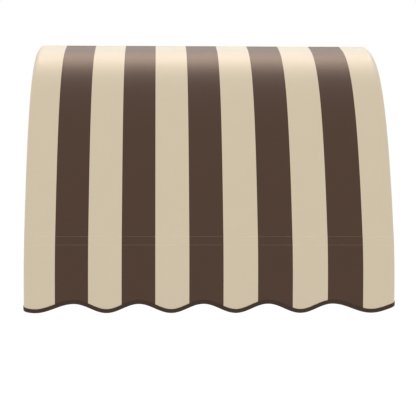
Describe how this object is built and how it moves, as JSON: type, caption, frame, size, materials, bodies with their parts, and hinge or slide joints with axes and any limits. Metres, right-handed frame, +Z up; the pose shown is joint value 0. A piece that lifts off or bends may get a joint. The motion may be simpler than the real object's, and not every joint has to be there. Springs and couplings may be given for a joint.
{
  "type": "window awning",
  "caption": "Rounded window awning with striped cloth, closed wings and a scalloped valance, stretched over a bolted tube frame that hangs on wall brackets.",
  "frame": {"origin": "on the wall face of the centre hook bracket, halfway between its two screw holes, on the awning's centre line", "axes": "+Y into the wall, +X along the head rail to the right seen from the street, +Z up"},
  "size_m": [1.0338, 0.6277, 0.7659],
  "materials": {
    "striped_cloth": "matt woven canvas, sand and brown stripes",
    "pocket_cloth": "matt woven canvas",
    "braid": "dark brown ribbed braid",
    "galvanised_steel": "galvanised steel tube, matt grey with a faint spangle",
    "casting": "cast aluminium, fine sand-cast grain",
    "zinc": "bright zinc plate"
  },
  "bodies": {
    "root": {"centre_bow": "galvanised_steel", "cover": "striped_cloth", "foot_bracket_left": "casting", "foot_bracket_left_screw_1": "zinc", "foot_bracket_left_screw_2": "zinc", "foot_bracket_right": "casting", "foot_bracket_right_screw_1": "zinc", "foot_bracket_right_screw_2": "zinc", "front_bar": "galvanised_steel", "front_corner_left": "casting", "front_corner_left_screw_1": "zinc", "front_corner_left_screw_2": "zinc", "front_corner_left_screw_3": "zinc", "front_corner_right": "casting", "front_corner_right_screw_1": "zinc", "front_corner_right_screw_2": "zinc", "front_corner_right_screw_3": "zinc", "front_pocket_left": "pocket_cloth", "front_pocket_right": "pocket_cloth", "front_saddle": "casting", "front_saddle_screw_bar": "zinc", "front_saddle_screw_bow": "zinc", "head_corner_left": "casting", "head_corner_left_screw_1": "zinc", "head_corner_left_screw_2": "zinc", "head_corner_left_screw_3": "zinc", "head_corner_right": "casting", "head_corner_right_screw_1": "zinc", "head_corner_right_screw_2": "zinc", "head_corner_right_screw_3": "zinc", "head_pocket_left": "pocket_cloth", "head_pocket_right": "pocket_cloth", "head_rail": "galvanised_steel", "hook_bracket_centre": "casting", "hook_bracket_centre_screw": "zinc", "hook_bracket_centre_screw_bow": "zinc", "hook_bracket_left": "casting", "hook_bracket_left_screw": "zinc", "hook_bracket_right": "casting", "hook_bracket_right_screw": "zinc", "post_pocket_left": "pocket_cloth", "post_pocket_right": "pocket_cloth", "side_bar_left": "galvanised_steel", "side_bar_right": "galvanised_steel", "side_bow_left": "galvanised_steel", "side_bow_right": "galvanised_steel", "side_pocket_left": "pocket_cloth", "side_pocket_right": "pocket_cloth", "valance_binding": "braid", "wall_post_left": "galvanised_steel", "wall_post_right": "galvanised_steel", "wing_left": "striped_cloth", "wing_right": "striped_cloth"}
  },
  "joints": []
}
